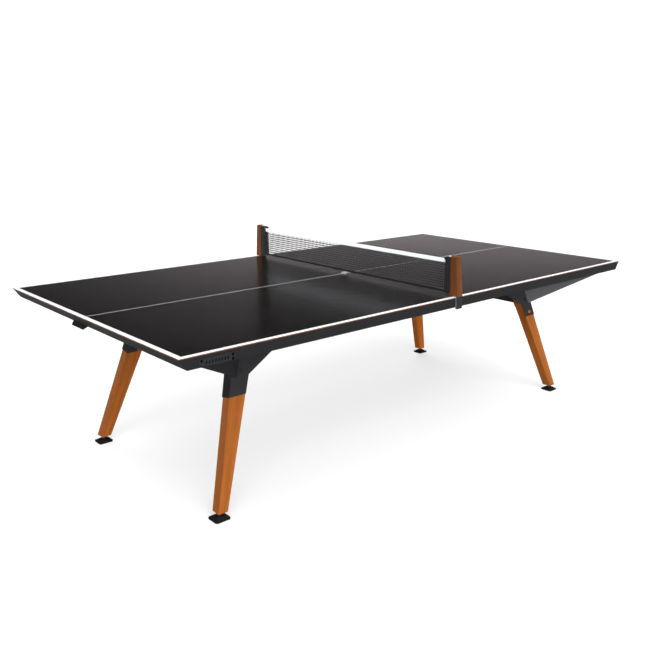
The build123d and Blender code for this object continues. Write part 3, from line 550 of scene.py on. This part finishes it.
def dress_cad_nodes():
    """Zinc on every node first, which stays on the bolts, studs, shoes and inserts."""
    zinc = zinc_steel()
    dress(nodes, zinc)
    dress(["joint_bolts"], zinc, 0.5 * MM)
    dress(["post_shoes"], zinc, 0.3 * MM)
    dress(["leg_bolts"], zinc_steel("black_zinc", ((62, 58, 54), (96, 88, 80))), 0.5 * MM)
    dress(["bracket_discs"], copper_paint())
    top_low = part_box("top_left")[0]
    top_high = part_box("top_right")[1]
    dress(named("top_"), laminate(top_high[0], top_high[1], top_high[2], top_low[2]))
    black = moulded_plastic("black_plastic", (28, 29, 30))
    rubber = moulded_plastic("black_rubber", (12, 12, 12), roughness=0.7, grain=700)
    dress(named("foot_pad"), rubber, 1.0 * MM, segments=3)
    dress(named("net_clip"), black, 0.8 * MM)
    dress(["net_mesh", "net_hem"], black)
    dress_steel()
    dress_wood()


# ---------------------------------------------------------------- net
NET_PITCH = 11.7 * MM
NET_SEED = 11
KNOT_SPREAD = 0.35 * MM
STRAND_HALF_WIDTH = 2.1 * MM
STRAND_HALF_THICKNESS = 1.0 * MM
STRAND_SIDES = 8
WEAVE_DEPTH = 0.7 * MM
NET_SHADES = ((15, 15, 14), (32, 32, 30))


def make_net():
    """Square-mesh net of flat knitted strands, held straight between the clamp bars."""
    low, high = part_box("net_mesh")
    rng = random.Random(NET_SEED)
    columns = round((high[1] - low[1]) / NET_PITCH)
    rows = round((high[2] - low[2]) / NET_PITCH)
    ys = [low[1] + (high[1] - low[1]) * i / columns for i in range(columns + 1)]
    zs = [low[2] + (high[2] - low[2]) * j / rows for j in range(rows + 1)]

    def knot(y, z):
        dy = rng.uniform(-KNOT_SPREAD, KNOT_SPREAD)
        dz = rng.uniform(-KNOT_SPREAD, KNOT_SPREAD)
        return Vector((0.0, y + dy, z + dz))

    grid = [[knot(y, z) for z in zs] for y in ys]
    bm = bmesh.new()

    def strand(knots, first_side):
        """One strand through its knots, in front of the others and behind them in turn."""
        points = []
        side = first_side
        for this, following in zip(knots, knots[1:] + [None]):
            points.append(this + Vector((side, 0, 0)))
            side = -side
            if following:
                points.append((this + following) / 2)
        flatness = STRAND_HALF_THICKNESS / STRAND_HALF_WIDTH
        tube(bm, points, STRAND_HALF_WIDTH, STRAND_SIDES, flatness)

    for i in range(columns + 1):
        strand(grid[i], WEAVE_DEPTH if i % 2 else -WEAVE_DEPTH)
    for j in range(1, rows):
        strand([column[j] for column in grid], -WEAVE_DEPTH if j % 2 else WEAVE_DEPTH)
    cord = twine("net_twine", NET_SHADES)
    net = finished("net_twine", bm, cord, "net_set", CORD_SMOOTH, ["net_mesh"])
    return net


TAPE_SEED = 14
HEM_SEED = 13
BAND_STEPS = 240
BAND_FOLD_STEPS = 8
BAND_MOUTH = 0.55                                # half-thicknesses as shares of the CAD node's
BAND_BODY = 0.62
BAND_BODY_LEVEL = 0.35
BAND_WAVES = (9, 23, 41)                         # ripples, in radians per metre
BAND_SWAY = 1.2                                  # the flat layers ripple more than the fold
BAND_FOLD_SWAY = 0.6
BAND_EASE = 8                                    # the ripple starts over an eighth of the length


def band_section(x_half, low, high, fold):
    """Half-turn fold on top, flat layers below: points in X and Z, anticlockwise."""
    level = low + BAND_BODY_LEVEL * (high - low)
    points = [(x_half * BAND_MOUTH, low), (x_half * BAND_BODY, level)]
    centre_z = high - fold
    for k in range(BAND_FOLD_STEPS + 1):
        angle = math.pi * k / BAND_FOLD_STEPS
        points.append((fold * math.cos(angle), centre_z + fold * math.sin(angle)))
    points += [(-x_half * BAND_BODY, level), (-x_half * BAND_MOUTH, low)]
    return points


def make_band(name, node_name, material, fold, ripple, seed, upside_down=False):
    """A strip of webbing folded over the net's edge, gently rippled along its length."""
    low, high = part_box(node_name)
    rng = random.Random(seed)
    phases = [rng.uniform(0, math.tau) for _ in BAND_WAVES]
    section = band_section((high[0] - low[0]) / 2, low[2], high[2], fold)
    if upside_down:
        section = [(x, low[2] + high[2] - z) for x, z in section]
    rings = []
    for i in range(BAND_STEPS + 1):
        y = low[1] + (high[1] - low[1]) * i / BAND_STEPS
        waves = [math.sin(w * y + p) for w, p in zip(BAND_WAVES, phases)]
        ease = min(1.0, BAND_EASE * min(i, BAND_STEPS - i) / BAND_STEPS)
        shift = ease * ripple * sum(waves) / len(waves)
        rings.append([
            Vector((x + shift * (BAND_SWAY if z < high[2] - fold else BAND_FOLD_SWAY), y, z))
            for x, z in section
        ])
    bm = bmesh.new()
    ring_strip(bm, rings)
    return finished(name, bm, material, "net_set", CLOTH_SMOOTH, [node_name])


STITCH_PITCH = 4.6 * MM
STITCH_LENGTH = 0.62 * STITCH_PITCH
STITCH_RADIUS = 0.28 * MM
STITCH_HEIGHT = 3.2 * MM                         # above the tape's lower edge
STITCH_MARGIN = 12 * MM
STITCH_IN = 0.8 * MM                             # how far out along X a stitch starts and stands
STITCH_OUT = 1.25 * MM


def make_stitches(material):
    """Two rows of short stitches, one on each face of the tape."""
    low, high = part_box("net_tape")
    z = low[2] + STITCH_HEIGHT
    count = int((high[1] - low[1] - 2 * STITCH_MARGIN) / STITCH_PITCH)
    arch = ((0.0, STITCH_IN), (0.3, STITCH_OUT), (0.7, STITCH_OUT), (1.0, STITCH_IN))
    bm = bmesh.new()
    for side in (-1, 1):
        for i in range(count):
            y = low[1] + STITCH_MARGIN + STITCH_PITCH * i
            tube(bm, [(side * x, y + t * STITCH_LENGTH, z) for t, x in arch], STITCH_RADIUS, sides=5)
    return finished("tape_stitches", bm, material, "net_set", CORD_SMOOTH)


TAIL_HALF_WIDTH = 4.2 * MM
TAIL_THICKNESS = 1.3 * MM
TAIL_RISE = 0.9 * MM                             # its middle above the clamp bar's top
TAIL_START_RISE = 0.5 * MM
TAIL_START = 11.0 * MM                           # from the clamp bar's inner face
TAIL_RAMP = 3.0 * MM
TAIL_FLAT_END = 6.0 * MM                         # from the clamp bar's outer face
TAIL_GAP = 0.4 * MM
TAIL_SECTION = ((-1, -0.5), (1, -0.5), (1.04, 0.0), (0.96, 0.5), (-0.96, 0.5), (-1.04, 0.0))


def make_tape_tails(material):
    """Tails of the tape, laid over the tops of the clamp bars to the posts."""
    clip_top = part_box("net_hooks")[0][2]
    clip_low, clip_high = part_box("net_clip_near")
    inner, outer = abs(clip_high[1]), abs(clip_low[1])
    path = [
        (inner + TAIL_START, clip_top + TAIL_START_RISE),
        (inner + TAIL_START + TAIL_RAMP, clip_top + TAIL_RISE),
        (outer - TAIL_FLAT_END, clip_top + TAIL_RISE),
        (outer - TAIL_GAP, clip_top + TAIL_RISE),
    ]
    bm = bmesh.new()
    for sy in SIDES.values():
        ring_strip(bm, [
            [Vector((TAIL_HALF_WIDTH * a, sy * y, z + TAIL_THICKNESS * b)) for a, b in TAIL_SECTION]
            for y, z in path
        ])
    return finished("tape_tails", bm, material, "net_set", CLOTH_SMOOTH, ["net_hooks"])


KNOB_RADIUS = 6.0 * MM
KNOB_LENGTH = 5.0 * MM
KNOB_CHAMFER = 0.6 * MM
KNOB_STEM = 3.0 * MM
KNOB_STEM_START = 0.4                            # share of the way out of the clamp bar
KNOB_SINK = 2.2 * MM                             # the knob's seat, in from the clamp bar's face
KNOB_DIMPLE = (2.0 * MM, 1.2 * MM)               # radius at the face and at the bottom
KNOB_DIMPLE_DEPTH = 0.4 * MM
KNOB_POINTS = 32
KNOB_RIDGE = 0.35 * MM
KNOB_INSET = 3.0 * MM
KNOB_DROP = 9.5 * MM


def turned(bm, centre, axis, profile):
    """A knurled turned piece: profile is (distance along axis, radius) pairs."""
    side = axis.orthogonal().normalized()
    up = axis.cross(side)
    rings = []
    for along, radius in profile:
        ring = []
        for k, angle in enumerate(circle_angles(KNOB_POINTS)):
            reach = radius - (KNOB_RIDGE if k % 2 else 0.0)
            ring.append(centre + along * axis + reach * (math.cos(angle) * side + math.sin(angle) * up))
        rings.append(ring)
    ring_strip(bm, rings)


def make_tension_knobs(material):
    """Knurled thumb knobs at the inner top corner of each clamp bar, over the ends of the tape."""
    clip_low, clip_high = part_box("net_clip_near")
    seat = -clip_low[0] - KNOB_SINK
    end = seat + KNOB_LENGTH
    profile = [
        (KNOB_STEM_START * seat, KNOB_STEM),
        (seat, KNOB_STEM),
        (seat, KNOB_RADIUS - KNOB_CHAMFER),
        (seat + KNOB_CHAMFER, KNOB_RADIUS),
        (end - KNOB_CHAMFER, KNOB_RADIUS),
        (end, KNOB_RADIUS - KNOB_CHAMFER),
        (end, KNOB_DIMPLE[0]),
        (end - KNOB_DIMPLE_DEPTH, KNOB_DIMPLE[1]),
    ]
    bm = bmesh.new()
    for sy in SIDES.values():
        centre = Vector((0, sy * (abs(clip_high[1]) + KNOB_INSET), clip_high[2] - KNOB_DROP))
        for side in (-1, 1):
            turned(bm, centre, Vector((side, 0, 0)), profile)
    knobs = finished("tension_knobs", bm, material, "net_set", PLASTIC_SMOOTH)


REST_HALF_LENGTH = 16 * MM
REST_MIDDLE = -8 * MM
REST_BASE = 761 * MM
REST_SECTION = (                                 # millimetres from the middle and the base
    (-16, 0.0), (12, 0.0), (14, 2.0), (13, 5.5), (9, 7.4), (0, 7.6), (-10, 5.8), (-16, 2.6)
)
REST_STEPS = 12
REST_END = 0.25                                  # keeps the ends blunt


def make_centre_rest(material):
    """Small white plastic rest under the middle of the hem."""
    rings = []
    for i in range(REST_STEPS + 1):
        t = 2 * i / REST_STEPS - 1
        swell = max(REST_END, 1 - t ** 4) ** 0.5 * MM
        rings.append([
            Vector((REST_MIDDLE + x * swell, REST_HALF_LENGTH * t, REST_BASE + z * swell))
            for x, z in REST_SECTION
        ])
    bm = bmesh.new()
    ring_strip(bm, rings)
    rest = finished("centre_rest", bm, material, "net_set", CORD_SMOOTH)


def make_net_set():
    tape_cloth = woven("white_tape", ((224, 232, 243), (238, 244, 252)), sheen=0.1)
    hem_cloth = woven("black_hem", ((10, 10, 10), (22, 22, 22)), sheen=0.05)
    thread = twine("white_thread", ((226, 229, 232), (246, 248, 250)))
    net = make_net()
    tape = make_band("net_tape_cloth", "net_tape", tape_cloth, 1.5 * MM, 0.8 * MM, TAPE_SEED)
    hem = make_band("net_hem_cloth", "net_hem", hem_cloth, 1.2 * MM, 0.5 * MM, HEM_SEED, upside_down=True)
    stitches = make_stitches(thread)
    tails = make_tape_tails(tape_cloth)
    make_tension_knobs(moulded_plastic("knob_plastic", (12, 12, 13)))
    make_centre_rest(moulded_plastic("white_plastic", (138, 138, 141), roughness=0.6))


# ---------------------------------------------------------------- screws, studs and painted shade in the slots
SAME_POINT = 1e-6
ROUND_POINTS = 24
SHANK_POINT = 0.35                               # the shank's tip, as a share of its radius
SHANK_TAPER = 2                                  # the tip's length in shank radii
HEAD_PROFILE = (                                 # shares of head radius and height, and if it's hexagonal
    (1.0, 1.0, False),
    (1.0, 0.65, False),
    (0.93, 0.30, False),
    (0.68, 0.0, False),
    (0.50, 0.0, True),
    (0.46, 0.55, True),
)
END_FACE = 0.02 * MM                             # points this near the outermost one belong to the end face
BACK_SCREW_LEAN = math.atan(LEG_LEAN[1])


def islands(node_name):
    """The points of each loose solid in a CAD node, as lists."""
    bm = bmesh.new()
    bm.from_mesh(nodes[node_name].data)
    bmesh.ops.remove_doubles(bm, verts=bm.verts, dist=SAME_POINT)
    seen = set()
    found = []
    for start in bm.verts:
        if start in seen:
            continue
        seen.add(start)
        stack = [start]
        island = []
        while stack:
            vert = stack.pop()
            island.append(vert.co.copy())
            for edge in vert.link_edges:
                other = edge.other_vert(vert)
                if other not in seen:
                    seen.add(other)
                    stack.append(other)
        found.append(island)
    bm.free()
    return found


def screw(bm, tip, outward, length, head_radius, head_height, shank_radius):
    """A button-head screw with a hexagon socket; tip is the middle of its head's outer face."""
    side = outward.orthogonal().normalized()
    up = outward.cross(side)

    def ring(radius, level, hexagon=False):
        points = []
        for angle in circle_angles(ROUND_POINTS):
            reach = radius
            if hexagon:
                reach *= math.cos(math.pi / 6) / math.cos((angle % (math.pi / 3)) - math.pi / 6)
            points.append(tip + outward * level + reach * (math.cos(angle) * side + math.sin(angle) * up))
        return points

    rings = [
        ring(SHANK_POINT * shank_radius, -length),
        ring(shank_radius, -length + SHANK_TAPER * shank_radius),
        ring(shank_radius, -head_height),
    ]
    for across, deep, hexagon in HEAD_PROFILE:
        rings.append(ring(across * head_radius, -deep * head_height, hexagon))
    ring_strip(bm, rings)


def make_screws(name, outward_at, size, material):
    """Replace a node of plain screws by button-head ones in the same places."""
    bm = bmesh.new()
    for island in islands(name):
        outward = outward_at(sum(island, Vector()) / len(island))
        reach = [p.dot(outward) for p in island]
        face = [p for p, r in zip(island, reach) if r > max(reach) - END_FACE]
        tip = sum(face, Vector()) / len(face)
        screw(bm, tip, outward, max(reach) - min(reach), *size)
    finished(f"{name}_detailed", bm, material, "table", METAL_SMOOTH, [name])


def down(_):
    return Vector((0, 0, -1))


def inside_leg(middle):
    """Towards the middle of the table, square to a splayed leg."""
    return Vector((0, -math.copysign(math.cos(BACK_SCREW_LEAN), middle.y), -math.sin(BACK_SCREW_LEAN)))


def outside_rail(middle):
    return Vector((0, math.copysign(1, middle.y), 0))


def inside_rail(middle):
    return Vector((0, -math.copysign(1, middle.y), 0))


STUD_RADIUS = 5.0 * MM
THREAD_PITCH = 1.5 * MM
THREAD_DEPTH = 0.45 * MM
THREAD_RINGS = 5                                 # rings of points for each turn of the thread
FLATS_RADIUS = 9.8 * MM
FLATS_PROFILE = ((20.0 * MM, 0.93), (20.6 * MM, 1.0), (25.4 * MM, 1.0), (26.0 * MM, 0.93))


def make_studs(material):
    """Levelling studs with a rolled thread and spanner flats."""
    for corner in CORNERS:
        low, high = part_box(f"foot_stud_{corner}")
        middle = Vector(((low[0] + high[0]) / 2, (low[1] + high[1]) / 2, 0))
        bm = bmesh.new()
        steps = round((high[2] - low[2]) / (THREAD_PITCH / THREAD_RINGS))
        rings = []
        for i in range(steps + 1):
            z = low[2] + (high[2] - low[2]) * i / steps
            ring = []
            for angle in circle_angles(ROUND_POINTS):
                depth = 0.5 - 0.5 * math.cos(math.tau * z / THREAD_PITCH - angle)
                reach = STUD_RADIUS - THREAD_DEPTH * depth
                ring.append(middle + Vector((reach * math.cos(angle), reach * math.sin(angle), z)))
            rings.append(ring)
        ring_strip(bm, rings)
        ring_strip(bm, [
            [
                middle + Vector((share * FLATS_RADIUS * math.cos(a), share * FLATS_RADIUS * math.sin(a), z))
                for a in circle_angles(6)
            ]
            for z, share in FLATS_PROFILE
        ])
        body = f"levelling_foot_{corner}"
        stud = f"foot_stud_{corner}"
        finished(f"{stud}_threaded", bm, material, body, METAL_SMOOTH, [stud])


SLOT_COUNT = 8
SLOT_START = 1185 * MM
SLOT_PITCH = 12 * MM
SLOT_Z = 728 * MM
SLOT_TURN = 78
SLOT_SHADE_HALF_LENGTH = 4.0 * MM
SLOT_SHADE_RADIUS = 2.45 * MM
SLOT_SHADE_POINTS = 16
SLOT_SHADE_PROFILE = ((0.0, 1.0), (0.5 * MM, 1.0), (0.7 * MM, 0.93))     # height and share of the outline


def make_slot_liners(material):
    """Black strips set into the slots of the side plates, painted shade for the dark seen through them."""
    lean = math.radians(SLOT_TURN)
    along = Vector((math.cos(lean), 0, math.sin(lean)))
    across = Vector((-math.sin(lean), 0, math.cos(lean)))
    outline = []
    for k in range(SLOT_SHADE_POINTS):
        angle = math.tau * (k + 0.5) / SLOT_SHADE_POINTS
        reach = math.copysign(SLOT_SHADE_HALF_LENGTH, math.cos(angle)) + SLOT_SHADE_RADIUS * math.cos(angle)
        outline.append(reach * along + SLOT_SHADE_RADIUS * math.sin(angle) * across)
    bm = bmesh.new()
    for side, plate in ((-1, "side_plate_left"), (1, "side_plate_right")):
        low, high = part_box(plate)
        inner = min(abs(low[1]), abs(high[1]))
        for i in range(SLOT_COUNT):
            middle = Vector((side * (SLOT_START + SLOT_PITCH * i), 0, SLOT_Z))
            ring_strip(bm, [
                [middle + share * point + Vector((0, side * (inner + level), 0)) for point in outline]
                for level, share in SLOT_SHADE_PROFILE
            ])
    # black strips in the slots: painted shade
    liners = finished("slot_liners", bm, material, "table", PLASTIC_SMOOTH)


def make_small_parts():
    zinc = zinc_steel("screw_zinc", ((150, 150, 148), (184, 184, 186)))
    black = moulded_plastic("screw_black", (0, 0, 0), roughness=0.8, shine=0.05)
    # node, way out, head radius, head height and shank radius in millimetres, finish
    kinds = (
        ("panel_screws", down, (4.5, 2.5, 2.4), zinc),
        ("lip_screws", down, (4.5, 2.0, 2.4), black),
        ("side_plate_screws", outside_rail, (5.0, 1.4, 2.4), black),
        ("bracket_screws", inside_rail, (3.5, 3.0, 1.9), zinc),
        ("back_screws", inside_leg, (5.0, 2.5, 2.4), zinc),
    )
    for name, outward_at, size, finish in kinds:
        make_screws(name, outward_at, [length * MM for length in size], finish)
    make_studs(zinc)
    # black strips in the side plates' slots, painted shade
    make_slot_liners(black)


# ---------------------------------------------------------------- studio
CAMERA_PLACE = (-2.52616, -2.93266, 1.49654)
CAMERA_TURN = (76.3277, -0.2174, -43.7571)
CAMERA_LENS = 42.8397
CAMERA_SENSOR = 36.0
CAMERA_SHIFT = (-0.09845, -0.01659)
CAMERA_REACH = 200.0
FLOOR_HALF_SIZE = 60.0
FLOOR_CLOUD = 0.6
FLOOR_SEEN = ((184, 184, 184), (188, 188, 188))
FLOOR_BOUNCED = ((120, 120, 121), (126, 126, 126))
FLOOR_GLOW = 0.53
WHITE = (1, 1, 1, 1)
WORLD_BY_HEIGHT = (                              # brightness at each height of the view direction
    (0.0, 4.2), (0.075, 2.15), (0.109, 0.60), (0.126, 0.12), (0.148, 0.015),
    (0.25, 0.01), (0.32, 0.01), (0.6, 0.08), (1.0, 0.3),
)
WORLD_BY_SIDE = ((0.0, 0.4), (0.80, 0.15), (0.90, 0.28), (0.94, 0.57), (0.97, 0.92), (1.0, 1.0))
WORLD_TINT = (1.0, 0.90, 0.92)
WORLD_AXIS = (0.707, 0.707, 0.0)                 # where the glow beyond the table is brightest
SUNS = (                                         # name, direction, strength, spread in degrees, if it shines
    ("key", (0.40, 0.80, -0.30), 4.2, 65, False),
    ("key_shine", (0.40, 0.80, -0.30), 0.8, 65, True),
    ("low", (0.95, 0.30, -0.12), 1.3, 50, False),
    ("side", (0.40, 0.90, -0.08), 1.5, 40, False),
    ("top", (0.12, 0.30, -1.0), 1.7, 62, True),
    ("back", (-0.35, -0.75, -0.75), 1.9, 50, False),
)


def make_camera():
    data = bpy.data.cameras.new("camera")
    data.lens = CAMERA_LENS
    data.sensor_width = CAMERA_SENSOR
    data.shift_x, data.shift_y = CAMERA_SHIFT
    data.clip_end = CAMERA_REACH
    camera = bpy.data.objects.new("camera", data)
    camera.location = CAMERA_PLACE
    camera.rotation_euler = Euler([math.radians(a) for a in CAMERA_TURN], "XYZ")
    bpy.context.scene.collection.objects.link(camera)
    bpy.context.scene.camera = camera


def make_floor():
    """White floor: bright to the camera, a mid grey in the light it sends up, clear from below."""
    bm = bmesh.new()
    bmesh.ops.create_grid(bm, x_segments=8, y_segments=8, size=FLOOR_HALF_SIZE)
    mesh = bpy.data.meshes.new("floor")
    bm.to_mesh(mesh)
    bm.free()
    floor = bpy.data.objects.new("floor", mesh)
    bpy.context.scene.collection.objects.link(floor)
    made = Shader("floor_paint", 0.9, specular=0.0)
    seen = made.add("ShaderNodeLightPath").outputs["Is Camera Ray"]
    cloud = made.noise(made.place(), FLOOR_CLOUD)
    made.colour(made.mix(seen, made.blend(cloud, FLOOR_BOUNCED), made.blend(cloud, FLOOR_SEEN)))
    made.feed(WHITE, made.surface.inputs["Emission Color"])
    made.feed(made.math("MULTIPLY", seen, FLOOR_GLOW), made.surface.inputs["Emission Strength"])
    see_through = made.add("ShaderNodeBsdfTransparent")
    one_sided = made.add("ShaderNodeMixShader")
    made.feed(made.add("ShaderNodeNewGeometry").outputs["Backfacing"], one_sided.inputs[0])
    made.feed(made.surface.outputs["BSDF"], one_sided.inputs[1])
    made.feed(see_through.outputs["BSDF"], one_sided.inputs[2])
    made.feed(one_sided.outputs["Shader"], made.tree.nodes["Material Output"].inputs["Surface"])
    paint(floor, made.material)


def make_sun(name, direction, strength, spread, shines):
    """A wide sun; one that does not shine lights surfaces without a highlight on them."""
    data = bpy.data.lights.new(name, "SUN")
    data.energy = strength
    data.angle = math.radians(spread)
    light = bpy.data.objects.new(name, data)
    light.rotation_euler = Vector(direction).to_track_quat("-Z", "Y").to_euler()
    light.visible_glossy = shines
    bpy.context.scene.collection.objects.link(light)


def make_world():
    """White to the camera; otherwise a low glow beyond the table that fades upwards and sideways."""
    world = bpy.data.worlds.new("studio")
    world.use_nodes = True
    bpy.context.scene.world = world
    tree = world.node_tree
    background = tree.nodes["Background"]
    direction = tree.nodes.new("ShaderNodeTexCoord").outputs["Generated"]

    def ramp(value, stops, tint=(1.0, 1.0, 1.0)):
        made = tree.nodes.new("ShaderNodeValToRGB")
        tree.links.new(value, made.inputs["Fac"])
        fill_ramp(made, [(position, [level * share for share in tint] + [1]) for position, level in stops])
        return made.outputs["Color"]

    height = tree.nodes.new("ShaderNodeSeparateXYZ")
    tree.links.new(direction, height.inputs[0])
    toward = tree.nodes.new("ShaderNodeVectorMath")
    toward.operation = "DOT_PRODUCT"
    tree.links.new(direction, toward.inputs[0])
    toward.inputs[1].default_value = WORLD_AXIS
    glow = tree.nodes.new("ShaderNodeMix")
    glow.data_type = "RGBA"
    glow.blend_type = "MULTIPLY"
    glow.inputs[MIX_FACTOR].default_value = 1.0
    tree.links.new(ramp(height.outputs["Z"], WORLD_BY_HEIGHT, WORLD_TINT), glow.inputs[MIX_FIRST])
    tree.links.new(ramp(toward.outputs["Value"], WORLD_BY_SIDE), glow.inputs[MIX_SECOND])
    seen = tree.nodes.new("ShaderNodeLightPath").outputs["Is Camera Ray"]
    shown = tree.nodes.new("ShaderNodeMix")
    shown.data_type = "RGBA"
    tree.links.new(seen, shown.inputs[MIX_FACTOR])
    tree.links.new(glow.outputs[MIX_RESULT], shown.inputs[MIX_FIRST])
    shown.inputs[MIX_SECOND].default_value = WHITE
    tree.links.new(shown.outputs[MIX_RESULT], background.inputs["Color"])
    background.inputs["Strength"].default_value = 1.0


def make_studio():
    make_camera()
    make_floor()
    make_world()
    for sun in SUNS:
        make_sun(*sun)
    bpy.context.scene.view_settings.view_transform = "Standard"
    bpy.context.scene.view_settings.look = "None"


dress_cad_nodes()
make_net_set()
make_small_parts()
make_studio()
